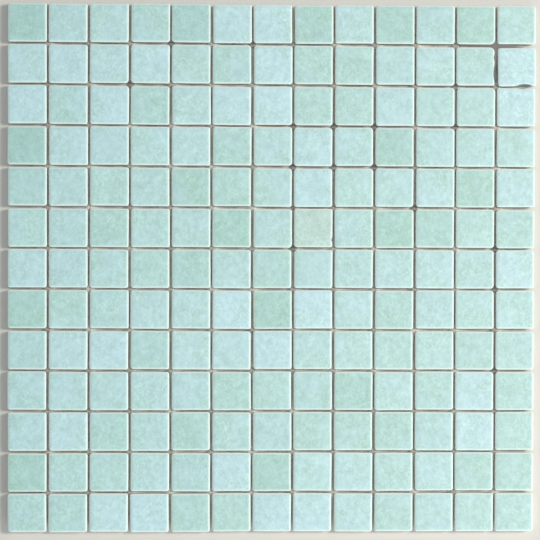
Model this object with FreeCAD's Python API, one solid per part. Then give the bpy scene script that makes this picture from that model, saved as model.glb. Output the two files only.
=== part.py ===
import FreeCAD
import Part
import math
import os

# Mosaic tile sheet: square glass tiles, face up, held to one another by a glue dot at each inner crossing.
# Millimetres. The sheet is centred on the origin and rests on the undersides of its glue dots at Z 0.
# Looked down on, +X runs to the right and +Y to the top. Row 1 is at the top, column 1 at the left.

# Sheet
TILE_ROWS = 13
TILE_COLUMNS = 13
JOINT_WIDTH = 1.2

# Tile, widest at its front, with sides that draw in towards the back
TILE_SIDE = 24.45
TILE_THICKNESS = 4.0
CORNER_RADIUS = 1.5
FRONT_EDGE_RADIUS = 1.0
BACK_DRAW_IN = 0.25

# Glue dot: a flattened bead on the backs of four tiles, with a plug pressed up between their corners
BEAD_DIAMETER = 8.0
BEAD_FLAT_DIAMETER = 4.4
BEAD_THICKNESS = 0.8
PLUG_REACH = 2.4

# How far up the tile's thickness the plugs stand, as shares of it
LOWEST_PLUG = 0.35
HIGHEST_PLUG = 0.75

# How unevenly the sheet is laid: shares of the joint width, and degrees
TILE_WANDER = 0.18
DOT_WANDER = 0.34
TILE_TWIST = 0.4

# Tiles that slipped further: row, column, then to the right and upwards in joint widths, then degrees
SLIPPED_TILES = (
    (1, 9, 0.00, 0.22, 0.2),
    (1, 11, 0.00, 0.34, -0.2),
    (1, 12, 0.00, 0.22, 0.1),
    (1, 13, 0.05, 0.47, -0.2),
    (2, 11, 0.00, -0.20, 0.1),
    (2, 12, -0.22, -0.06, 0.3),
    (2, 13, 0.34, -0.30, 0.8),
)

# Worked out from the sizes above. An edge rounding stays a little under the corner that it runs round.
TILE_PITCH = TILE_SIDE + JOINT_WIDTH
FRONT = BEAD_THICKNESS + TILE_THICKNESS
BROADEST_EDGE_ROUNDING = 0.95 * min(CORNER_RADIUS, TILE_THICKNESS)

# How close two levels are when they count as one
SAME_LEVEL = 0.001

# Traits of a piece that vary independently of each other, and the steps that keep them unlike
SHIFT_X, SHIFT_Y, TWIST, PLUG_RISE = range(4)
SCATTER_BY_ROW = 12.9898
SCATTER_BY_COLUMN = 78.233
SCATTER_BY_TRAIT = 37.719
SCATTER_STRETCH = 43758.5453

UP = FreeCAD.Vector(0, 0, 1)
CENTRE = FreeCAD.Vector(0, 0, 0)


def scatter(row, column, trait):
    """Spread a trait evenly between -1 and 1 over the pieces, the same way in every run."""
    turns = SCATTER_BY_ROW * row + SCATTER_BY_COLUMN * column + SCATTER_BY_TRAIT * trait
    spread = SCATTER_STRETCH * math.sin(turns)
    return 2 * (spread - math.floor(spread)) - 1


def grid_point(row, column):
    """Middle of a tile's place. Half a row and half a column further is a crossing of the joints."""
    x = (column - (TILE_COLUMNS + 1) / 2) * TILE_PITCH
    y = ((TILE_ROWS + 1) / 2 - row) * TILE_PITCH
    return FreeCAD.Vector(x, y, 0)


def upright_edges(shape):
    """Edges that run up a block's corners, drawn in or not."""
    return [edge for edge in shape.Edges if edge.BoundBox.ZLength > TILE_THICKNESS / 2]


def make_tile():
    """Build one tile in the middle of the sheet: a block that draws in to its back, then its roundings."""
    half = TILE_SIDE / 2
    back = half - BACK_DRAW_IN
    block = Part.makeWedge(-back, 0, -back, -half, -half, back, TILE_THICKNESS, back, half, half)
    block.rotate(CENTRE, FreeCAD.Vector(1, 0, 0), 90)
    block.translate(BEAD_THICKNESS * UP)
    block = block.makeFillet(CORNER_RADIUS, upright_edges(block))
    rim = [edge for edge in block.Edges if abs(edge.BoundBox.ZMin - FRONT) < SAME_LEVEL]
    return block.makeFillet(min(FRONT_EDGE_RADIUS, BROADEST_EDGE_ROUNDING), rim).Solids[0]


def make_outline():
    """Draw the tile's outline as a flat face at the level of its back, as broad as its front."""
    corner = FreeCAD.Vector(-TILE_SIDE / 2, -TILE_SIDE / 2, BEAD_THICKNESS)
    block = Part.makeBox(TILE_SIDE, TILE_SIDE, TILE_THICKNESS, corner)
    block = block.makeFillet(CORNER_RADIUS, upright_edges(block))
    return min(block.Faces, key=lambda face: face.CenterOfMass.z)


def tile_seat(row, column):
    """Find where a tile lies and how far it is turned."""
    right = TILE_WANDER * scatter(row, column, SHIFT_X)
    up = TILE_WANDER * scatter(row, column, SHIFT_Y)
    twist = TILE_TWIST * scatter(row, column, TWIST)
    for slipped_row, slipped_column, *slip in SLIPPED_TILES:
        if (row, column) == (slipped_row, slipped_column):
            right, up, twist = slip
    shift = FreeCAD.Vector(right * JOINT_WIDTH, up * JOINT_WIDTH, 0)
    return FreeCAD.Placement(grid_point(row, column) + shift, FreeCAD.Rotation(UP, twist))


def seated(shape, seat):
    """Copy a shape made in the middle of the sheet to a tile's place."""
    copy = shape.copy()
    copy.Placement = seat.multiply(copy.Placement)
    return copy


def make_bead(place):
    """Turn the bead about the dot's upright line: flat below, then a flank that rounds up to the rim."""
    flat = BEAD_FLAT_DIAMETER / 2
    rim = BEAD_DIAMETER / 2
    flank_radius = ((rim - flat) ** 2 + BEAD_THICKNESS ** 2) / (2 * BEAD_THICKNESS)
    halfway = math.atan2(rim - flat, flank_radius - BEAD_THICKNESS) / 2
    flat_edge = FreeCAD.Vector(flat, 0, 0)
    flank_x = flat + flank_radius * math.sin(halfway)
    flank = FreeCAD.Vector(flank_x, 0, flank_radius * (1 - math.cos(halfway)))
    rim_edge = FreeCAD.Vector(rim, 0, BEAD_THICKNESS)
    top = BEAD_THICKNESS * UP
    edges = [Part.makeLine(CENTRE, flat_edge), Part.Arc(flat_edge, flank, rim_edge).toShape()]
    edges += [Part.makeLine(rim_edge, top), Part.makeLine(top, CENTRE)]
    bead = Part.Face(Part.Wire(edges)).revolve(CENTRE, UP, 360)
    bead.translate(place)
    return bead


def make_dot(row, column, outline, seats):
    """Build the dot at the crossing below and to the right of a tile, between the four tiles it holds."""
    wander = DOT_WANDER * JOINT_WIDTH
    right = wander * scatter(row + 0.5, column + 0.5, SHIFT_X)
    up = wander * scatter(row + 0.5, column + 0.5, SHIFT_Y)
    place = grid_point(row + 0.5, column + 0.5) + FreeCAD.Vector(right, up, 0)
    middle = (LOWEST_PLUG + HIGHEST_PLUG) / 2
    swing = (HIGHEST_PLUG - LOWEST_PLUG) / 2
    rise = TILE_THICKNESS * (middle + swing * scatter(row, column, PLUG_RISE))

    level = place + BEAD_THICKNESS * UP
    held = [seated(outline, seats[row + below, column + beside]) for below in (0, 1) for beside in (0, 1)]
    opening = Part.Face(Part.Wire(Part.makeCircle(PLUG_REACH, level, UP))).cut(held).Faces[0]
    plug = opening.extrude(rise * UP)
    bead = make_bead(place)
    shoulder = Part.Face(Part.Wire(Part.makeCircle(BEAD_DIAMETER / 2, level, UP))).cut(opening)

    skin = [face for face in bead.Faces if face.CenterOfMass.z < BEAD_THICKNESS - SAME_LEVEL]
    skin += shoulder.Faces
    skin += [face for face in plug.Faces if face.CenterOfMass.z > BEAD_THICKNESS + SAME_LEVEL]
    dot = Part.Compound(skin)
    dot.sewShape()
    return Part.Solid(dot.Shells[0])


def export_node(name, solids):
    """Write like pieces that don't touch as one node."""
    Part.makeCompound(solids).exportStep(f"parts/{name}.step")


os.makedirs("parts", exist_ok=True)

rows = range(1, TILE_ROWS + 1)
columns = range(1, TILE_COLUMNS + 1)
tile = make_tile()
outline = make_outline()
seats = {(row, column): tile_seat(row, column) for row in rows for column in columns}

for row in rows:
    export_node(f"tile_row_{row:02d}", [seated(tile, seats[row, column]) for column in columns])

for row in rows[:-1]:
    dots = [make_dot(row, column, outline, seats) for column in columns[:-1]]
    export_node(f"glue_dots_row_{row:02d}", dots)
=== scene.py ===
"""Looks of a mosaic tile sheet: clouded glass tiles with open joints, held together by glue dots.

Metres throughout. The sheet lies face up on the floor, +X along its rows and +Y towards row 1.
"""

import logging
import math
from dataclasses import dataclass, field
from enum import Enum

import bpy
import numpy as np
from mathutils import Matrix, Vector


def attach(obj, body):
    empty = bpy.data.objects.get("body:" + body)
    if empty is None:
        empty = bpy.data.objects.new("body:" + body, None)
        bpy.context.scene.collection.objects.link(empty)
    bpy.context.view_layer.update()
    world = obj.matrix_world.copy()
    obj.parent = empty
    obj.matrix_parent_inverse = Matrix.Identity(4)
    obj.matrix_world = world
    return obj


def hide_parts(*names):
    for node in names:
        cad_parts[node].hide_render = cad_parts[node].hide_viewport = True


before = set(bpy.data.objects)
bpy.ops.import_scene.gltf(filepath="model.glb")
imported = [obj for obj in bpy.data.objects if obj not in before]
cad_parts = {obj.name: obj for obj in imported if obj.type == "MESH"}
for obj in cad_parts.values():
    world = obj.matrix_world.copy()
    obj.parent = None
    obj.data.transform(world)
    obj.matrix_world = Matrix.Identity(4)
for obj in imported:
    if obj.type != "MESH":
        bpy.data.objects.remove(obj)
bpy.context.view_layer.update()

MM = 0.001
SEED = 1301
BODY = "root"

log = logging.getLogger("mosaic_sheet")

# A range runs from a low value to a high one. A ramp is a range with the values that it starts and ends at.
Range = tuple[float, float]
Ramp = tuple[float, float, float, float]
Colour = tuple[float, float, float, float]
Spot = tuple[float, float, float]


def paint(red: int, green: int, blue: int) -> Colour:
    """Turn a colour as seen on a screen, 0 to 255, into the linear one that a shader takes.

    Args:
        red: Red as seen.
        green: Green as seen.
        blue: Blue as seen.

    Returns:
        The linear colour with full alpha.
    """
    def linear(level: int) -> float:
        """Linear value of one channel."""
        share = level / 255
        return share / 12.92 if share <= 0.04045 else ((share + 0.055) / 1.055) ** 2.4

    return (linear(red), linear(green), linear(blue), 1.0)


def smooth_step(value: np.ndarray) -> np.ndarray:
    """Ease values from 0 to 1, flat at both ends."""
    share = np.clip(value, 0.0, 1.0)
    return share * share * (3 - 2 * share)


def turn_points(points: np.ndarray, angle: float) -> np.ndarray:
    """Turn X and Y points anticlockwise by an angle in radians."""
    cosine, sine = math.cos(angle), math.sin(angle)
    return points @ np.array([[cosine, sine], [-sine, cosine]])


Waves = tuple[tuple[int, float], ...]


def ripple(angles: np.ndarray, phases: np.ndarray, waves: Waves) -> np.ndarray:
    """Height, -1 to 1, at each angle of waves round a circle, given as their crests and strengths."""
    height = sum(power * np.sin(crests * angles + phase) for (crests, power), phase in zip(waves, phases))
    return height / sum(power for _, power in waves)


class Wire:
    """A shader socket that can stand in a Python expression."""

    def __init__(self, board: "Board", socket: bpy.types.NodeSocket) -> None:
        """Keep the socket and the board that it is on."""
        self.board = board
        self.socket = socket

    @property
    def is_colour(self) -> bool:
        """Whether the socket carries a colour."""
        return self.socket.type == "RGBA"

    @property
    def is_vector(self) -> bool:
        """Whether the socket carries a vector."""
        return self.socket.type == "VECTOR"

    def _join(self, operation: str, first: object, second: object) -> "Wire":
        """Add the node for one operator.

        Args:
            operation: Name of the operation, such as ADD.
            first: Left-hand wire or value.
            second: Right-hand wire or value.

        Returns:
            The result.
        """
        sides = [side for side in (first, second) if isinstance(side, Wire)]
        if any(side.is_colour for side in sides):
            settings = {"data_type": "RGBA", "blend_type": operation}
            sockets = {"Factor_Float": 1.0, "A_Color": first, "B_Color": second}
            return self.board.wire("ShaderNodeMix", settings, sockets, "Result_Color")
        is_vector = any(side.is_vector for side in sides)
        kind = "ShaderNodeVectorMath" if is_vector else "ShaderNodeMath"
        return self.board.wire(kind, {"operation": operation}, {0: first, 1: second})

    def __add__(self, other: object) -> "Wire":
        """Sum."""
        return self._join("ADD", self, other)

    __radd__ = __add__

    def __sub__(self, other: object) -> "Wire":
        """Difference."""
        return self._join("SUBTRACT", self, other)

    def __rsub__(self, other: object) -> "Wire":
        """Difference from a number or colour."""
        return self._join("SUBTRACT", other, self)

    def __mul__(self, other: object) -> "Wire":
        """Product."""
        return self._join("MULTIPLY", self, other)

    __rmul__ = __mul__

    def swing(self, size: float) -> "Wire":
        """Turn a noise of 0 to 1 into a swing round zero, of that size from end to end."""
        return (self - 0.5) * size

    def ramp(self, low: float, high: float, start: float = 0.0, end: float = 1.0) -> "Wire":
        """Ease from start to end while the value goes from low to high."""
        sockets = {"Value": self, "From Min": low, "From Max": high, "To Min": start, "To Max": end}
        return self.board.wire("ShaderNodeMapRange", {"interpolation_type": "SMOOTHSTEP"}, sockets)

    def blend(self, other: object, share: object) -> "Wire":
        """Mix towards another colour by a share of 0 to 1."""
        return self.board.mix(self, other, share)


class Board:
    """A node tree, with one way of adding any node to it."""

    def __init__(self, tree: bpy.types.NodeTree) -> None:
        """Start from an empty tree."""
        self.tree = tree
        tree.nodes.clear()

    def node(self, kind: str, settings: dict[str, object], sockets: dict[object, object]) -> bpy.types.Node:
        """Add a node.

        Args:
            kind: The node's type.
            settings: Its options, set first.
            sockets: Values or wires by the input's name, identifier or number.

        Returns:
            The node.
        """
        node = self.tree.nodes.new(kind)
        for option, value in settings.items():
            setattr(node, option, value)
        for key, value in sockets.items():
            socket = self._input(node, key)
            if isinstance(value, Wire):
                self.tree.links.new(value.socket, socket)
            else:
                self._set(socket, value)
        return node

    def wire(self, kind: str, settings: dict[str, object], sockets: dict[object, object],
             output: object = 0) -> Wire:
        """Add a node and take one of its outputs.

        Args:
            kind: The node's type.
            settings: Its options, set first.
            sockets: Values or wires by the input's name, identifier or number.
            output: The output's identifier or number.

        Returns:
            The output as a wire.
        """
        node = self.node(kind, settings, sockets)
        if isinstance(output, int):
            return Wire(self, node.outputs[output])
        found = [socket for socket in node.outputs if output in (socket.identifier, socket.name)]
        return Wire(self, found[0])

    def attribute(self, name: str, output: str = "Fac") -> Wire:
        """Read a value that a mesh carries at its points."""
        return self.wire("ShaderNodeAttribute", {"attribute_name": name}, {}, output)

    def mix(self, first: object, second: object, share: object) -> Wire:
        """Mix from the first colour to the second by a share of 0 to 1."""
        sockets = {"Factor_Float": share, "A_Color": first, "B_Color": second}
        return self.wire("ShaderNodeMix", {"data_type": "RGBA"}, sockets, "Result_Color")

    def noise(self, place: Wire, size: float, detail: float = 2.0, rough: float = 0.5) -> Wire:
        """Soft noise of about 0 to 1, whose features are about one size across."""
        sockets = {"Vector": place, "Scale": 1 / size, "Detail": detail, "Roughness": rough}
        return self.wire("ShaderNodeTexNoise", {}, sockets)

    def bump(self, height: Wire, strength: float, depth: float) -> Wire:
        """Turn a height of 0 to 1 into a normal, for unevenness of a depth in metres."""
        return self.wire("ShaderNodeBump", {}, {"Strength": strength, "Distance": depth, "Height": height})

    def surface(self, sockets: dict[object, object]) -> None:
        """Send a surface with these values and wires to the material's output."""
        shader = self.wire("ShaderNodeBsdfPrincipled", {}, sockets)
        self.node("ShaderNodeOutputMaterial", {}, {"Surface": shader})

    @staticmethod
    def _input(node: bpy.types.Node, key: object) -> bpy.types.NodeSocket:
        """Find a node's input.

        Args:
            node: The node.
            key: The input's number, identifier or name.

        Returns:
            The input's socket.
        """
        if isinstance(key, int):
            return node.inputs[key]
        found = [socket for socket in node.inputs if socket.identifier == key]
        return found[0] if found else node.inputs[key]

    @staticmethod
    def _set(socket: bpy.types.NodeSocket, value: object) -> None:
        """Write a constant, spread over the channels where the socket has several.

        Args:
            socket: The socket to write to.
            value: A number, vector or colour.
        """
        if socket.type == "RGBA" and isinstance(value, (int, float)):
            socket.default_value = (value, value, value, 1.0)
        elif socket.type == "VECTOR" and isinstance(value, (int, float)):
            socket.default_value = (value, value, value)
        else:
            socket.default_value = value


def start_material(name: str) -> tuple[bpy.types.Material, Board]:
    """Make an empty material.

    Args:
        name: The material's name.

    Returns:
        The material, and the board that its nodes go on.
    """
    material = bpy.data.materials.new(name)
    material.use_nodes = True
    return material, Board(material.node_tree)


class GlassBatch(Enum):
    """Melts of glass that the tiles come from: share of green, and how pale the glass is."""

    USUAL = (0.50, 0.00)
    SEA = (0.62, -1.20)
    SMOKE = (0.18, -1.90)
    MINT = (0.75, 0.00)
    SKY = (0.32, 0.70)
    MOSS = (0.70, -0.50)
    SAND = (1.25, -0.35)

    @property
    def green(self) -> float:
        """Share of green glass in the melt."""
        return self.value[0]

    @property
    def pale(self) -> float:
        """How much paler than usual, darker where negative."""
        return self.value[1]

    @property
    def spread(self) -> float:
        """How much the share of green differs from tile to tile."""
        return USUAL_SPREAD if self is GlassBatch.USUAL else STANDOUT_SPREAD


Places = tuple[tuple[int, int], ...]

STANDOUT_TILES: dict[GlassBatch, Places] = {
    GlassBatch.SEA: (
        (1, 8), (1, 10), (1, 12), (4, 10), (5, 12), (6, 6), (6, 10), (7, 5), (8, 1), (8, 7),
        (10, 9), (12, 1), (12, 7)),
    GlassBatch.SMOKE: ((1, 1), (1, 5), (4, 1)),
    GlassBatch.SKY: (
        (1, 7), (2, 2), (2, 4), (2, 7), (2, 13), (3, 1), (3, 3), (3, 7), (3, 13), (4, 8), (5, 8),
        (7, 13), (8, 6), (8, 8), (9, 2), (9, 3), (9, 7), (10, 12), (11, 12), (12, 6), (12, 9),
        (13, 4), (13, 8)),
    GlassBatch.MINT: (
        (1, 13), (2, 5), (2, 12), (3, 11), (3, 12), (4, 13), (5, 9), (6, 4), (7, 4), (11, 8),
        (11, 13), (12, 3), (13, 6)),
    GlassBatch.MOSS: (
        (2, 8), (3, 4), (3, 8), (4, 6), (5, 6), (6, 3), (7, 7), (9, 4), (9, 12), (10, 6), (11, 5),
        (11, 10)),
    GlassBatch.SAND: ((6, 8),),
}

# The tiles' tint gets a little greener down the sheet and to the right. The red share that rises to the
# right is painted warm light from the right, not a tint of the glass. That share and PALING are shares by
# which the red, green and blue light that the glass gives back change. From tile to tile the paleness
# differs PALER_BY_SPREAD times as much as the share of green.
MIDDLE = 7
GREENER_BY_TILE = 0.009
PAINTED_WARM_LIGHT_BY_TILE = np.array([0.0042, 0.0, 0.0])
PALING = np.array([0.092, 0.060, 0.098])
USUAL_SPREAD = 0.12
STANDOUT_SPREAD = 0.05
PALER_BY_SPREAD = 3.0


def batch_of(row: int, column: int) -> GlassBatch:
    """Melt that the tile at a row and column comes from."""
    found = [batch for batch, places in STANDOUT_TILES.items() if (row, column) in places]
    return found[0] if found else GlassBatch.USUAL


@dataclass(frozen=True)
class GlassFinish:
    """Clouded satin glass: two tints that drift into each other, with a paler tint on the rounded edges that
    is a painted highlight.

    A hue is the swing that a noise gives to the share of green, and a contrast the one that it gives to the
    light given back.
    """

    green: Colour = paint(186, 222, 216)
    blue: Colour = paint(192, 225, 229)
    sand: Colour = paint(194, 221, 214)
    # Painted highlight: the paler tint laid on the rounded rims, where they catch the light.
    rim: Colour = paint(227, 240, 236)
    side: Colour = paint(198, 192, 177)
    fracture: Colour = paint(132, 154, 145)
    drift_size: float = 15 * MM
    veil_size: float = 9 * MM
    cloud_size: float = 3.0 * MM
    fleck_size: float = 1.3 * MM
    streaking: float = 0.8
    drift_hue: float = 1.5
    cloud_hue: float = -1.25
    cloud_contrast: float = 0.42
    veil_contrast: float = 0.18
    fleck_contrast: Range = (0.065, 0.17)
    fleck_mean: float = 0.35
    fleck_range: Range = (0.3, 0.8)
    drift_range: Range = (0.35, 0.65)
    sand_greens: Range = (1.0, 1.2)
    rim_highlight_width: float = 1.7 * MM
    rim_highlight_share: float = 0.95
    side_ramp: Ramp = (0.15, 1.0, 0.0, 0.95)
    fracture_range: Range = (0.1, 0.6)
    refraction: float = 1.5
    roughness: float = 0.33
    cloud_roughness: float = 0.16
    chip_roughness: float = 0.3
    cloud_height: float = 0.5
    fleck_height: float = 0.25
    bump_strength: float = 0.35
    bump_depth: float = 0.12 * MM
    coat: float = 0.3
    coat_roughness: float = 0.22

    def material(self) -> bpy.types.Material:
        """Make the material.

        Returns:
            The glass, which reads green, tone, place, edge, skirt and chip from the mesh.
        """
        material, board = start_material("clouded_glass")
        place = board.attribute("place", "Vector")
        edge = board.attribute("edge")
        streaked = place * (1.0, self.streaking, 1.0)

        drift = board.noise(place, self.drift_size, detail=1.0)
        cloud = board.noise(streaked, self.cloud_size, detail=3.0, rough=0.6)
        veil = board.noise(place, self.veil_size, detail=1.0)
        fleck = board.noise(streaked, self.fleck_size, detail=1.0, rough=0.5)

        share = board.attribute("green") + drift.swing(self.drift_hue) + cloud.swing(self.cloud_hue)
        tint = board.mix(self.blue, self.green, share.ramp(0.0, 1.0))
        tint = tint.blend(self.sand, board.attribute("green").ramp(*self.sand_greens))
        contrast = drift.ramp(*self.drift_range, *self.fleck_contrast)
        speckle = (fleck.ramp(*self.fleck_range) - self.fleck_mean) * contrast
        level = cloud.swing(self.cloud_contrast) + veil.swing(self.veil_contrast) + speckle + 1.0
        # The tone vector holds the glass's own paleness and the painted warm light from the right.
        tint = tint * level * board.attribute("tone_and_warm_light", "Vector")

        # Painted highlight: the rounded rims are tinted paler, as they look where they catch the light.
        tint = tint.blend(self.rim, edge.ramp(0.0, self.rim_highlight_width, self.rim_highlight_share, 0.0))
        tint = tint.blend(self.side, board.attribute("skirt").ramp(*self.side_ramp))
        chip = board.attribute("chip")
        tint = tint.blend(self.fracture, chip.ramp(*self.fracture_range))

        height = cloud * self.cloud_height + fleck * self.fleck_height
        bump = board.bump(height, self.bump_strength, self.bump_depth)
        board.surface({
            "Base Color": tint,
            "Roughness": cloud.swing(self.cloud_roughness) + self.roughness + chip * self.chip_roughness,
            "Normal": bump,
            "IOR": self.refraction,
            "Coat Weight": self.coat,
            "Coat Roughness": self.coat_roughness,
        })
        return material


@dataclass(frozen=True)
class GlueFinish:
    """Flexible glue, dull and uneven. It is light at shade 0, and grey and dark at the shades named here."""

    light: Colour = paint(231, 227, 218)
    grey: Colour = paint(166, 163, 156)
    # The dark tint, which on the sunken dots is partly painted shade of their deep crossings.
    dark: Colour = paint(130, 127, 125)
    rust: Colour = paint(118, 74, 58)
    grey_at: float = 0.6
    dark_at: float = 1.2
    blotch_size: float = 1.6 * MM
    blotch_shade: float = 0.7
    blotch_roughness: float = 0.2
    rust_ramp: Ramp = (0.3, 0.6, 0.4, 1.0)
    bump_strength: float = 0.4
    bump_depth: float = 0.2 * MM
    roughness: float = 0.6
    sheen: float = 0.25

    def material(self) -> bpy.types.Material:
        """Make the material.

        Returns:
            The glue, which reads shade, rust and place from the mesh.
        """
        material, board = start_material("glue")
        place = board.attribute("place", "Vector")
        blotch = board.noise(place, self.blotch_size, detail=2.0, rough=0.6)
        shade = board.attribute("shade") + blotch.swing(self.blotch_shade)
        tint = board.mix(self.light, self.grey, shade.ramp(0.0, self.grey_at))
        tint = tint.blend(self.dark, shade.ramp(self.grey_at, self.dark_at))
        tint = tint.blend(self.rust, board.attribute("rust") * blotch.ramp(*self.rust_ramp))
        bump = board.bump(blotch, self.bump_strength, self.bump_depth)
        board.surface({
            "Base Color": tint,
            "Roughness": blotch.swing(self.blotch_roughness) + self.roughness,
            "Specular IOR Level": self.sheen,
            "Normal": bump,
        })
        return material


@dataclass(frozen=True)
class FloorFinish:
    """Plain pale floor."""

    tint: Colour = paint(221, 219, 213)
    roughness: float = 0.8

    def material(self) -> bpy.types.Material:
        """Make the material.

        Returns:
            The floor's plain material.
        """
        material, board = start_material("pale_floor")
        board.surface({"Base Color": self.tint, "Roughness": self.roughness})
        return material


@dataclass(frozen=True)
class SheetLayout:
    """The grid that the tiles are laid on."""

    rows: int = 13
    columns: int = 13
    pitch: float = 25.65 * MM
    back_level: float = 0.8 * MM

    def crossing(self, row: int, column: int) -> np.ndarray:
        """Place of the crossing below and to the right of a tile.

        Args:
            row: The tile's row, from 1.
            column: The tile's column, from 1.

        Returns:
            X and Y in metres.
        """
        across = column - self.columns / 2
        up = self.rows / 2 - row
        return np.array([across, up]) * self.pitch


@dataclass(frozen=True)
class TileSeat:
    """Where a tile lies: its row and column, its middle in metres and its turn in radians."""

    row: int
    column: int
    x: float
    y: float
    turn: float

    def to_sheet(self, points: np.ndarray) -> np.ndarray:
        """Carry X and Y points from the tile's own middle to the sheet."""
        return turn_points(points, self.turn) + (self.x, self.y)


MOST_TURN = math.radians(1.5)
TURNS_TRIED = 301


def read_seats(layout: SheetLayout, row: int) -> list[TileSeat]:
    """Read where the tiles of a row lie from the row's solids.

    Args:
        layout: The sheet's grid.
        row: The row, from 1.

    Returns:
        One seat for each tile, from left to right.
    """
    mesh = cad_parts[f"tile_row_{row:02d}"].data
    points = np.empty(len(mesh.vertices) * 3)
    mesh.vertices.foreach_get("co", points)
    points = points.reshape(-1, 3)[:, :2]
    columns = np.floor(points[:, 0] / layout.pitch + layout.columns / 2).astype(int)
    turns = np.linspace(-MOST_TURN, MOST_TURN, TURNS_TRIED)
    seats = []
    for column in range(layout.columns):
        x, y = points[columns == column].T
        across = np.outer(np.cos(turns), x) + np.outer(np.sin(turns), y)
        along = np.outer(np.cos(turns), y) - np.outer(np.sin(turns), x)
        best = int(np.argmin(np.ptp(across, axis=1) + np.ptp(along, axis=1)))
        turn = float(turns[best])
        middle_across = (across[best].min() + across[best].max()) / 2
        middle_along = (along[best].min() + along[best].max()) / 2
        centre_x = middle_across * math.cos(turn) - middle_along * math.sin(turn)
        centre_y = middle_across * math.sin(turn) + middle_along * math.cos(turn)
        seats.append(TileSeat(row, column + 1, centre_x, centre_y, turn))
    return seats


@dataclass
class MeshParts:
    """Points and faces of one or more like pieces, with the values that their finish reads."""

    points: list[np.ndarray] = field(default_factory=list)
    faces: list[tuple[int, ...]] = field(default_factory=list)
    values: dict[str, list[np.ndarray]] = field(default_factory=dict)
    count: int = 0

    def add(self, points: np.ndarray, faces: list[tuple[int, ...]], values: dict[str, np.ndarray]) -> None:
        """Add one piece.

        Args:
            points: X, Y and Z of each point.
            faces: The faces, numbered from the piece's own first point.
            values: Numbers or vectors at each point, by name.
        """
        self.points.append(points)
        self.faces += [tuple(corner + self.count for corner in face) for face in faces]
        for name, numbers in values.items():
            self.values.setdefault(name, []).append(numbers)
        self.count += len(points)

    def build(self, name: str, material: bpy.types.Material) -> bpy.types.Object:
        """Make the object.

        Args:
            name: The object's name.
            material: Its finish.

        Returns:
            The object, smoothly shaded.
        """
        mesh = bpy.data.meshes.new(name)
        mesh.from_pydata(np.vstack(self.points).tolist(), [], self.faces)
        mesh.shade_smooth()
        for label, numbers in self.values.items():
            joined = np.concatenate(numbers).astype(np.float32)
            is_vector = joined.ndim == 2
            layer = mesh.attributes.new(label, "FLOAT_VECTOR" if is_vector else "FLOAT", "POINT")
            layer.data.foreach_set("vector" if is_vector else "value", joined.ravel())
        mesh.materials.append(material)
        mesh.validate()
        piece = bpy.data.objects.new(name, mesh)
        bpy.context.scene.collection.objects.link(piece)
        return piece


@dataclass(frozen=True)
class TileShape:
    """Sizes of a glass tile: rounded rim, slightly crowned face, sides drawn in to the back."""

    half_side: float = 12.16 * MM
    thickness: float = 4.0 * MM
    rim_reach: float = 1.90 * MM
    rim_drop: float = 0.75 * MM
    back_draw_in: float = 0.25 * MM
    back_rounding: float = 0.3 * MM
    back_bevel: float = 0.09 * MM
    back_border: float = 0.9 * MM
    face_border: float = 0.8 * MM
    crown: float = 0.16 * MM
    crown_power: int = 3
    wave: float = 0.025 * MM
    wave_lengths: tuple[float, ...] = (11 * MM, 16 * MM, 21 * MM)
    wander: float = 0.05 * MM
    wander_waves: Waves = ((3, 1.0), (5, 0.7), (9, 0.5))
    least_radius: float = 1.1 * MM
    most_radius: float = 1.8 * MM
    blunting: float = 0.5 * MM
    tightest_radius: float = 0.25 * MM
    cloud_turn: float = 0.6
    side_steps: int = 16
    corner_steps: int = 6
    rim_steps: int = 6

    @property
    def grid_steps(self) -> int:
        """Steps along one side of the face's grid, which starts and ends halfway round a corner."""
        return self.side_steps + self.corner_steps


@dataclass(frozen=True)
class Chip:
    """A flake off a tile's front edge: the tile, where from its middle in half sides, and its sizes.

    Fade down, set back and set down are shares of its reach: how it fades down the side, and how far it
    sets the glass back and down. The edge width, in half sides, is how near it is to the sides it faces.
    """

    row: int
    column: int
    across: float
    up: float
    length: float
    reach: float
    fade_down: float = 0.6
    set_back: float = 0.5
    set_down: float = 0.3
    edge_width: float = 0.05

    @property
    def outward(self) -> np.ndarray:
        """Direction out of the tile at the chip's edge or corner.

        Returns:
            X and Y of the direction, of length 1.
        """
        spot = np.array([self.across, self.up])
        side = np.where(np.abs(spot) > 1 - self.edge_width, np.sign(spot), 0.0)
        return side / np.linalg.norm(side)


CHIPS = (
    Chip(6, 8, 1.0, -0.60, 1.6 * MM, 1.4 * MM),
    Chip(2, 12, 1.0, -0.35, 9.0 * MM, 1.2 * MM),
    Chip(2, 12, 1.0, 0.45, 4.0 * MM, 0.9 * MM),
    Chip(2, 13, 0.38, -1.0, 8.0 * MM, 1.9 * MM),
    Chip(3, 13, 0.34, 1.0, 5.0 * MM, 0.9 * MM),
)


class Corner(Enum):
    """The tile's corners, anticlockwise, with the row and column steps to the crossing there."""

    TOP_RIGHT = (-1, 0)
    TOP_LEFT = (-1, -1)
    BOTTOM_LEFT = (0, -1)
    BOTTOM_RIGHT = (0, 0)

    def crossing(self, row: int, column: int) -> tuple[int, int]:
        """Row and column of the crossing at this corner of a tile."""
        return (row + self.value[0], column + self.value[1])


BLUNT_CORNERS: dict[tuple[int, int, Corner], float] = {
    (1, 12, Corner.BOTTOM_RIGHT): 3.2 * MM,
    (2, 12, Corner.TOP_RIGHT): 3.0 * MM,
    (3, 12, Corner.TOP_RIGHT): 2.4 * MM,
    (13, 1, Corner.BOTTOM_LEFT): 2.4 * MM,
}


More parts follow.
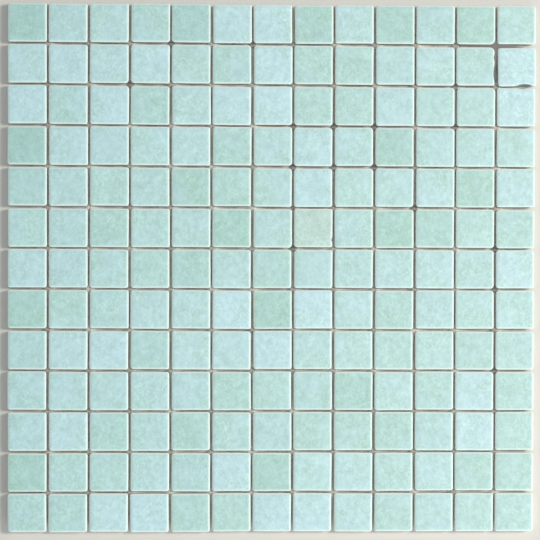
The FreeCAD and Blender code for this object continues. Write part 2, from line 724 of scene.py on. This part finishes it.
class GlassTile:
    """One tile, with the small unevenness of pressed glass."""

    def __init__(self, seat: TileSeat, shape: TileShape) -> None:
        """Draw the tile's own corner radii, side wander, face waves and tint.

        Args:
            seat: Where it lies.
            shape: The sizes that all tiles share.
        """
        self.seat = seat
        self.shape = shape
        self.batch = batch_of(seat.row, seat.column)
        dice = np.random.default_rng([SEED, seat.row, seat.column])
        self.radii = dice.uniform(shape.least_radius, shape.most_radius, 4)
        for number, corner in enumerate(Corner):
            if corner.crossing(seat.row, seat.column) in SUNKEN_DOTS:
                self.radii[number] += shape.blunting
            blunt = BLUNT_CORNERS.get((seat.row, seat.column, corner))
            self.radii[number] = blunt or self.radii[number]
        self.wander_phases = dice.uniform(0, 2 * math.pi, 3)
        self.wave_turns = dice.uniform(0, math.pi, 3)
        self.wave_phases = dice.uniform(0, 2 * math.pi, 3)
        self.cloud_turn = dice.uniform(-shape.cloud_turn, shape.cloud_turn)
        self.cloud_shift = dice.uniform(-1, 1, 3)
        self.green = self.batch.green + dice.normal(0, self.batch.spread)
        self.green += GREENER_BY_TILE * (seat.column - MIDDLE + seat.row - MIDDLE)
        pale = self.batch.pale + dice.normal(0, PALER_BY_SPREAD * self.batch.spread)
        # Painted warm light: the column term makes the tiles redder towards the right.
        self.tone_and_warm_light = 1 + PALING * pale + PAINTED_WARM_LIGHT_BY_TILE * (seat.column - MIDDLE)

    def ring(self, inset: float) -> np.ndarray:
        """Run round the tile at a distance inside its outline.

        Args:
            inset: The distance in metres.

        Returns:
            X and Y of each point, anticlockwise from halfway round the first corner.
        """
        shape = self.shape
        steps = np.linspace(0, math.pi / 2, shape.corner_steps + 1)
        arcs = []
        for corner, own_radius in enumerate(self.radii):
            radius = max(own_radius - inset, shape.tightest_radius)
            angles = steps + corner * math.pi / 2
            reach = shape.half_side - inset - radius
            diagonal = (corner + 0.5) * math.pi / 2
            middle = reach * math.sqrt(2) * np.array([math.cos(diagonal), math.sin(diagonal)])
            arcs.append(middle + radius * np.column_stack([np.cos(angles), np.sin(angles)]))
        runs = []
        for arc, following in zip(arcs, arcs[1:] + arcs[:1]):
            shares = np.linspace(0, 1, shape.side_steps + 1)[1:-1, None]
            runs += [arc, arc[-1] + shares * (following[0] - arc[-1])]
        points = np.roll(np.vstack(runs), -(shape.corner_steps // 2), axis=0)
        around = np.arctan2(points[:, 1], points[:, 0])
        waver = ripple(around, self.wander_phases, shape.wander_waves)
        drawn_in = 1 - shape.wander * (1 + waver) / 2 / shape.half_side
        return points * drawn_in[:, None]

    def outline(self) -> np.ndarray:
        """Outline of the tile on the sheet, at its widest."""
        return self.seat.to_sheet(self.ring(0.0))

    def face_dip(self, points: np.ndarray) -> np.ndarray:
        """How far the face lies under its highest level.

        Args:
            points: X and Y on the tile.

        Returns:
            The dip at each point in metres.
        """
        shape = self.shape
        share = np.abs(points) / shape.half_side
        dip = shape.crown * (share ** shape.crown_power).sum(axis=1) / 2
        for length, turn, phase in zip(shape.wave_lengths, self.wave_turns, self.wave_phases):
            run = points @ np.array([math.cos(turn), math.sin(turn)])
            height = 1 + np.sin(2 * math.pi * run / length + phase)
            dip += shape.wave / len(shape.wave_lengths) * height
        return dip

    def face_grid(self, ring: np.ndarray) -> np.ndarray:
        """Fill a ring with a grid whose border is that ring.

        Args:
            ring: The ring round the face.

        Returns:
            X and Y by row and column of the grid.
        """
        steps = self.shape.grid_steps
        top, left = ring[:steps + 1], ring[steps:2 * steps + 1]
        bottom = ring[2 * steps:3 * steps + 1][::-1]
        right = np.vstack([ring[3 * steps:], ring[:1]])[::-1]
        share = np.linspace(0, 1, steps + 1)
        down, across = share[:, None, None], share[None, :, None]
        between_rows = (1 - down) * top[None] + down * bottom[None]
        between_sides = (1 - across) * right[:, None] + across * left[:, None]
        upper = (1 - across) * top[0] + across * top[-1]
        lower = (1 - across) * bottom[0] + across * bottom[-1]
        return between_rows + between_sides - ((1 - down) * upper + down * lower)

    def profile(self) -> list[tuple[float, float, float]]:
        """Rings from the face's border over the rim and down to the back.

        Returns:
            For each ring its inset, its drop under the face, and how much it belongs to the face, 0 to 1.
        """
        shape = self.shape
        rings = []
        for step in range(shape.rim_steps + 1):
            angle = math.pi / 2 * step / shape.rim_steps
            inset = shape.rim_reach * (1 - math.sin(angle))
            rings.append((inset, shape.rim_drop * (1 - math.cos(angle)), 1.0))
        draw = shape.back_draw_in
        wall_end = shape.thickness - shape.back_rounding
        rings.append((draw / 2, (shape.rim_drop + wall_end) / 2, 0.5))
        rings.append((draw, wall_end, 0.0))
        rings.append((draw + shape.back_bevel, shape.thickness - shape.back_bevel, 0.0))
        rings.append((draw + shape.back_rounding, shape.thickness, 0.0))
        rings.append((draw + shape.back_border, shape.thickness, 0.0))
        return rings

    def add_to(self, parts: MeshParts, layout: SheetLayout) -> None:
        """Add the tile to its row's mesh.

        Args:
            parts: The row's mesh.
            layout: The sheet's grid, which gives the level of the backs.
        """
        shape = self.shape
        steps = shape.grid_steps
        border = self.ring(shape.rim_reach + shape.face_border)
        grid = self.face_grid(border).reshape(-1, 2)
        numbers = np.arange(len(grid)).reshape(steps + 1, steps + 1)
        faces = [(numbers[i, j], numbers[i, j + 1], numbers[i + 1, j + 1], numbers[i + 1, j])
                 for i in range(steps) for j in range(steps)]
        previous = np.concatenate(
            [numbers[0, :-1], numbers[:-1, -1], numbers[-1, :0:-1], numbers[:0:-1, 0]])

        flat = [grid]
        heights = [shape.thickness - self.face_dip(grid)]
        edges = [shape.half_side - np.abs(grid).max(axis=1)]
        skirts = [np.zeros(len(grid))]
        count = len(grid)
        for inset, drop, kept in self.profile():
            ring = self.ring(inset)
            flat.append(ring)
            heights.append(shape.thickness - drop - kept * self.face_dip(ring))
            edges.append(np.full(len(ring), inset if kept == 1.0 else 0.0))
            skirts.append(np.full(len(ring), 1 - kept))
            current = np.arange(count, count + len(ring))
            following = np.roll(current, -1)
            inner = np.roll(previous, -1)
            faces += list(zip(previous, current, following, inner))
            previous = current
            count += len(ring)
        faces.append(tuple(previous[::-1]))

        flat = np.vstack(flat)
        heights = np.concatenate(heights)
        chip = self.knock_off(flat, heights)
        points = np.column_stack([self.seat.to_sheet(flat), heights + layout.back_level])
        parts.add(points, [tuple(int(corner) for corner in face) for face in faces], {
            "place": self.cloud_place(flat, heights),
            "edge": np.concatenate(edges),
            "skirt": np.concatenate(skirts),
            "chip": chip,
            "green": np.full(count, self.green),
            "tone_and_warm_light": np.tile(self.tone_and_warm_light, (count, 1)),
        })

    def cloud_place(self, flat: np.ndarray, heights: np.ndarray) -> np.ndarray:
        """Place of each point in the glass's own clouding, which is different in each tile."""
        return np.column_stack([turn_points(flat, self.cloud_turn), heights]) + self.cloud_shift

    def knock_off(self, flat: np.ndarray, heights: np.ndarray) -> np.ndarray:
        """Press the tile's chips into its points.

        Args:
            flat: X and Y of the points, changed in place.
            heights: Z of the points, changed in place.

        Returns:
            How deep in a chip each point lies, 0 to 1.
        """
        depth = np.zeros(len(flat))
        for chip in CHIPS:
            if (chip.row, chip.column) != (self.seat.row, self.seat.column):
                continue
            outward = chip.outward
            away = flat - np.array([chip.across, chip.up]) * self.shape.half_side
            along = (away @ np.array([-outward[1], outward[0]])) / chip.length
            inwards = (away @ outward) / chip.reach
            down = chip.fade_down * (self.shape.thickness - heights) / chip.reach
            share = smooth_step(1 - np.sqrt(along ** 2 + inwards ** 2 + down ** 2))
            flat -= outward * (chip.set_back * chip.reach * share)[:, None]
            heights -= chip.set_down * chip.reach * share
            depth = np.maximum(depth, share)
        return depth


@dataclass
class TileRow:
    """A row of tiles, which stands for the row's plain solids."""

    layout: SheetLayout
    row: int
    shape: TileShape
    material: bpy.types.Material

    def tiles(self) -> list[GlassTile]:
        """The row's tiles from left to right."""
        return [GlassTile(seat, self.shape) for seat in read_seats(self.layout, self.row)]

    def build(self, tiles: list[GlassTile]) -> bpy.types.Object:
        """Make the row's piece.

        Args:
            tiles: The row's tiles.

        Returns:
            The piece.
        """
        parts = MeshParts()
        for tile in tiles:
            tile.add_to(parts, self.layout)
        piece = parts.build(f"glass_tiles_row_{self.row:02d}", self.material)
        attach(piece, BODY)
        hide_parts(f"tile_row_{self.row:02d}")
        log.info("%s: %d tiles, %d faces", piece.name, len(tiles), len(piece.data.polygons))
        return piece


@dataclass(frozen=True)
class DotShape:
    """Sizes of a glue dot: a flattened bead behind the tiles, and a plug that thins out along the joints."""

    scatter: float = 0.3 * MM
    bead_radius: float = 4.0 * MM
    flat_radius: float = 2.2 * MM
    bead_thickness: float = 0.8 * MM
    shoulder_radius: float = 0.93
    bead_swell: tuple[float, float] = (0.22, 0.62)
    bead_waves: Waves = ((2, 1.0), (3, 0.6), (5, 0.4))
    plug_core: float = 0.9 * MM
    plug_reach: tuple[float, float] = (10.2 * MM, 7.0 * MM)
    plug_rings: tuple[float, ...] = (0.88, 0.75, 0.6, 0.45, 0.3, 0.15)
    reach_scatter: Range = (0.8, 1.2)
    sunken_reach: float = 7.0 * MM
    lowest_plug: float = 0.9 * MM
    usual_plug: Range = (1.7 * MM, 2.6 * MM)
    highest_plug: float = 3.2 * MM
    usual_shoulder: float = 0.45
    smeared_shoulder: float = 2.0
    arm_overhang: float = 0.1 * MM
    arm_end: float = 0.1 * MM
    usual_shade: Range = (0.30, 0.70)
    sunken_shade: Range = (0.89, 1.01)
    smeared_shade: float = 1.4
    # Along the arms the glue pales to the light tint: thin glue, and painted light that lifts the shaded
    # joint floors.
    usual_fade: Range = (0.10, 0.5)
    sunken_fade: Range = (0.24, 0.42)
    smeared_fade: Range = (0.3, 1.5)
    creep: float = 0.25 * MM
    creep_power: int = 4
    slit: float = 0.03 * MM
    lip: float = 0.05 * MM
    unevenness: float = 0.12
    quarter_angles: tuple[float, ...] = (
        0, 1.5, 3, 6, 9, 13, 18, 26, 36, 45, 54, 64, 72, 77, 81, 84, 87, 88.5)


# Crossings whose dots sit low in the joint. Their glue is painted dark as well: painted shade of the deep
# crossing.
SUNKEN_DOTS: Places = (
    (1, 4), (1, 6), (2, 3), (2, 11), (3, 7), (3, 8), (3, 9), (3, 11), (4, 7), (4, 8), (4, 9),
    (5, 10), (6, 7), (6, 12), (7, 12), (9, 12))
RUSTY_DOTS: Places = ((5, 7),)
SMEARED_DOTS: dict[tuple[int, int], tuple[float, float, float, float]] = {
    (1, 12): (18.0 * MM, 11.0 * MM, 24.0 * MM, 22.0 * MM),
}


TINY = 1e-12

# Keeps the draws of a dot apart from those of the tile with its row and column.
DOT_DRAWS = 100


class GlueDot:
    """One glue dot at a crossing."""

    def __init__(self, layout: SheetLayout, row: int, column: int, shape: DotShape) -> None:
        """Draw the dot's own place, height and shade.

        Args:
            layout: The sheet's grid.
            row: Row of the tile above and to the left.
            column: Column of that tile.
            shape: The sizes that all dots share.
        """
        self.shape = shape
        self.at = (row, column)
        dice = np.random.default_rng([SEED, DOT_DRAWS + row, column])
        self.place = layout.crossing(row, column) + dice.uniform(-shape.scatter, shape.scatter, 2)
        self.rise = dice.uniform(*shape.usual_plug)
        greyness = dice.uniform()
        self.shade = np.interp(greyness, (0, 1), shape.usual_shade)
        self.lobes = dice.uniform(0, 2 * math.pi, 3)
        self.arms = np.array(2 * shape.plug_reach) * dice.uniform(*shape.reach_scatter, 4)
        self.shoulder = shape.usual_shoulder
        self.fade = shape.usual_fade
        self.rust = 1.0 if self.at in RUSTY_DOTS else 0.0
        if self.at in SUNKEN_DOTS:
            self.rise = shape.lowest_plug
            self.arms = np.minimum(self.arms, shape.sunken_reach)
            # Partly painted shade: the low dot's glue is made dark as well.
            self.shade = np.interp(greyness, (0, 1), shape.sunken_shade)
            self.fade = shape.sunken_fade
        if self.at in SMEARED_DOTS:
            self.arms = np.array(SMEARED_DOTS[self.at])
            self.rise = shape.highest_plug
            self.shoulder = shape.smeared_shoulder
            self.shade = shape.smeared_shade
            self.fade = shape.smeared_fade

    def reach(self, angles: np.ndarray) -> np.ndarray:
        """How far the plug would run in each direction, by the arm that lies nearest."""
        return self.arms[np.round(angles / (math.pi / 2)).astype(int) % 4]

    def opening(self, tiles: list[GlassTile], angles: np.ndarray) -> np.ndarray:
        """Measure how far the plug reaches between the tiles.

        Args:
            tiles: The four tiles round the crossing.
            angles: Directions from the dot's middle.

        Returns:
            The reach in each direction.
        """
        rays = np.column_stack([np.cos(angles), np.sin(angles)])
        reach = self.reach(angles)
        limit = reach[:, None]
        for tile in tiles:
            start = tile.outline() - self.place
            along = np.roll(start, -1, axis=0) - start
            cross = rays[:, None, 0] * along[None, :, 1] - rays[:, None, 1] * along[None, :, 0]
            cross = np.where(np.abs(cross) < TINY, TINY, cross)
            distance = (start[:, 0] * along[:, 1] - start[:, 1] * along[:, 0]) / cross
            share = (start[None, :, 0] * rays[:, None, 1] - start[None, :, 1] * rays[:, None, 0]) / cross
            hit = (share >= 0) & (share <= 1) & (distance > 0)
            reach = np.minimum(reach, np.where(hit, distance, limit).min(axis=1))
        return reach

    def level_at(self, distance: np.ndarray, reach: np.ndarray) -> np.ndarray:
        """Level of the plug's top, which slopes down along the joints and thins out to the floor.

        Args:
            distance: Distance from the dot's middle in each direction.
            reach: How far the plug runs in each direction.

        Returns:
            The level at each distance.
        """
        shape = self.shape
        run = np.clip((distance - shape.plug_core) / (reach - shape.plug_core), 0, 1)
        arm = shape.bead_thickness + (shape.arm_end - shape.bead_thickness) * run
        return arm + self.rise * smooth_step(1 - run / self.shoulder)

    def shade_at(self, distance: np.ndarray, reach: np.ndarray) -> np.ndarray:
        """Shade of the glue at a distance from the dot's middle. It pales along the plug's reach, where the
        glue thins out, and the paler tint is also painted light on the shaded joint floors.
        """
        start, end = self.fade
        return self.shade * smooth_step((end - distance / reach) / (end - start))

    def add_to(self, parts: MeshParts, tiles: list[GlassTile]) -> None:
        """Add the dot to its row's mesh.

        Args:
            parts: The row's mesh.
            tiles: The four tiles round the crossing.
        """
        shape = self.shape
        angles = np.radians([quarter * 90 + angle for quarter in range(4) for angle in shape.quarter_angles])
        opening = self.opening(tiles, angles)
        lobes = ripple(angles, self.lobes, shape.bead_waves)
        bead = shape.bead_radius * (1 - shape.unevenness * (1 + lobes) / 2)
        bead = np.maximum(bead, opening + shape.arm_overhang)
        flat = shape.flat_radius * (1 + shape.unevenness * lobes)
        top = shape.bead_thickness
        reach = self.reach(angles)
        climb = shape.creep * smooth_step(2 * (1 - opening / reach))
        opening = opening - shape.slit

        edge_level = self.level_at(opening, reach) + climb
        rim = np.where(opening > shape.bead_radius, np.minimum(top, edge_level), top)
        lower, upper = shape.bead_swell
        rings = [(flat / 2, 0.0), (flat, 0.0), ((flat + bead) / 2, lower * rim)]
        rings += [(shape.shoulder_radius * bead, upper * rim), (bead, rim)]
        rings += [(opening + shape.lip, rim), (opening, (rim + edge_level) / 2), (opening, edge_level)]
        for share in shape.plug_rings:
            crept = climb * share ** shape.creep_power
            rings.append((share * opening, self.level_at(share * opening, reach) + crept))

        flat_points = [np.zeros((1, 2))]
        heights = [np.zeros(1)]
        for radius, height in rings:
            flat_points.append(np.column_stack([radius * np.cos(angles), radius * np.sin(angles)]))
            heights.append(np.broadcast_to(height, len(angles)))
        flat_points.append(np.zeros((1, 2)))
        heights.append(np.array([top + self.rise]))
        around = len(angles)
        faces = []
        for step in range(around):
            after = (step + 1) % around
            faces.append((0, 1 + after, 1 + step))
            for ring in range(len(rings) - 1):
                low, high = 1 + ring * around, 1 + (ring + 1) * around
                faces.append((low + step, low + after, high + after, high + step))
            last = 1 + (len(rings) - 1) * around
            faces.append((last + step, last + after, last + around))

        flat_points = np.vstack(flat_points)
        heights = np.concatenate(heights)
        points = np.column_stack([flat_points + self.place, heights])
        distance = np.linalg.norm(flat_points, axis=1)
        reach = np.concatenate([reach[:1], np.tile(reach, len(rings)), reach[:1]])
        parts.add(points, faces, {
            "place": points,
            "shade": self.shade_at(distance, reach),
            "rust": self.rust * smooth_step(2 - distance / shape.plug_core),
        })


@dataclass
class GlueRow:
    """A row of glue dots, which stands for the row's plain solids."""

    layout: SheetLayout
    row: int
    shape: DotShape
    material: bpy.types.Material

    def build(self, above: list[GlassTile], below: list[GlassTile]) -> bpy.types.Object:
        """Make the row's piece.

        Args:
            above: The tiles over the row of dots.
            below: The tiles under it.

        Returns:
            The piece.
        """
        parts = MeshParts()
        for column in range(1, self.layout.columns):
            dot = GlueDot(self.layout, self.row, column, self.shape)
            dot.add_to(parts, above[column - 1:column + 1] + below[column - 1:column + 1])
        piece = parts.build(f"glue_beads_row_{self.row:02d}", self.material)
        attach(piece, BODY)
        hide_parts(f"glue_dots_row_{self.row:02d}")
        log.info("%s: %d faces", piece.name, len(piece.data.polygons))
        return piece


@dataclass(frozen=True)
class SoftBox:
    """A rectangular studio light: its place and aim, size, power in watts and colour.

    The tiles don't mirror it, only the backdrop.
    """

    name: str
    place: Spot
    aim: Spot
    width: float
    height: float
    power: float
    tint: tuple[float, float, float]

    def build(self) -> None:
        """Hang the light and aim it."""
        lamp = bpy.data.lights.new(self.name, "AREA")
        lamp.shape = "RECTANGLE"
        lamp.size = self.width
        lamp.size_y = self.height
        lamp.energy = self.power
        lamp.color = self.tint
        holder = bpy.data.objects.new(self.name, lamp)
        holder.location = self.place
        holder.visible_glossy = False
        holder.rotation_euler = (Vector(self.aim) - Vector(self.place)).to_track_quat("-Z", "Y").to_euler()
        bpy.context.scene.collection.objects.link(holder)


@dataclass(frozen=True)
class Studio:
    """Floor, lights and the camera that looks down on the sheet."""

    floor_radius: float = 0.62
    floor_corners: int = 96
    sky_level: float = 0.305
    sky: Colour = (0.90, 0.965, 1.0, 1.0)
    backdrop_level: float = 0.88
    lights: tuple[SoftBox, ...] = (
        SoftBox("key", (1.46, 0.34, 1.21), (-0.4, -1.6, 0.0), 0.55, 0.55, 34.6, (1.0, 0.96, 0.90)),
        SoftBox("overhead", (0.1, 0.0, 1.7), (0.1, 0.0, 0.0), 1.1, 1.1, 3.4, (0.95, 0.98, 1.0)),
        SoftBox("foot", (0.6, -1.2, 0.19), (0.0, 0.0, 0.0), 1.2, 0.16, 12.0, (1.0, 0.98, 0.95)),
        SoftBox("side", (-1.5, 0.1, 0.2), (0.0, 0.0, 0.0), 1.3, 0.16, 3.0, (1.0, 0.98, 0.95)),
    )
    sensor_width: float = 36.0
    camera_distance: float = 0.90
    view_width: float = 340.1 * MM
    camera_yaw: float = math.radians(1.70)
    camera_pitch: float = math.radians(0.82)
    camera_roll: float = math.radians(-0.17)
    aim: Spot = (-1.52 * MM, -0.7 * MM, 4.8 * MM)

    def lay_floor(self) -> None:
        """Lay the round floor under the glue dots."""
        mesh = bpy.data.meshes.new("floor")
        angles = np.linspace(0, 2 * math.pi, self.floor_corners, endpoint=False)
        corners = self.floor_radius * np.column_stack([np.cos(angles), np.sin(angles), 0 * angles])
        mesh.from_pydata(corners.tolist(), [], [tuple(range(self.floor_corners))])
        mesh.materials.append(FloorFinish().material())
        floor = bpy.data.objects.new("floor", mesh)
        bpy.context.scene.collection.objects.link(floor)

    def light_sky(self) -> None:
        """Light the room evenly, and show it as a pale backdrop."""
        world = bpy.data.worlds.new("studio")
        bpy.context.scene.world = world
        world.use_nodes = True
        board = Board(world.node_tree)
        path = board.node("ShaderNodeLightPath", {}, {})
        seen = Wire(board, path.outputs["Is Camera Ray"]) + Wire(board, path.outputs["Is Glossy Ray"])
        seen = seen + Wire(board, path.outputs["Is Transmission Ray"])
        strength = seen.ramp(0.0, 1.0, self.sky_level, self.backdrop_level)
        sky = board.wire("ShaderNodeBackground", {}, {"Color": self.sky, "Strength": strength})
        board.node("ShaderNodeOutputWorld", {}, {"Surface": sky})

    def set_camera(self) -> None:
        """Hang the camera over the sheet, as slightly off square as in the photo."""
        lens = bpy.data.cameras.new("camera")
        lens.sensor_width = self.sensor_width
        lens.lens = self.sensor_width * self.camera_distance / self.view_width
        camera = bpy.data.objects.new("camera", lens)
        turn = Matrix.Rotation(self.camera_roll, 3, "Z") @ Matrix.Rotation(self.camera_pitch, 3, "X")
        turn = (turn @ Matrix.Rotation(self.camera_yaw, 3, "Y")).transposed()
        place = Vector(self.aim) + turn @ Vector((0, 0, self.camera_distance))
        camera.matrix_world = Matrix.Translation(place) @ turn.to_4x4()
        bpy.context.scene.collection.objects.link(camera)
        bpy.context.scene.camera = camera

    def build(self) -> None:
        """Set up the whole studio."""
        self.lay_floor()
        for light in self.lights:
            light.build()
        self.light_sky()
        self.set_camera()
        bpy.context.scene.view_settings.view_transform = "Standard"


def main() -> None:
    """Build the sheet's pieces in order, then the studio round them."""
    logging.basicConfig(level=logging.INFO, format="%(message)s")
    layout = SheetLayout()
    glass = GlassFinish().material()
    glue = GlueFinish().material()
    rows = []
    for row in range(1, layout.rows + 1):
        tile_row = TileRow(layout, row, TileShape(), glass)
        rows.append(tile_row.tiles())
        tile_row.build(rows[-1])
    for row in range(1, layout.rows):
        GlueRow(layout, row, DotShape(), glue).build(rows[row - 1], rows[row])
    Studio().build()


if __name__ == "__main__":
    main()
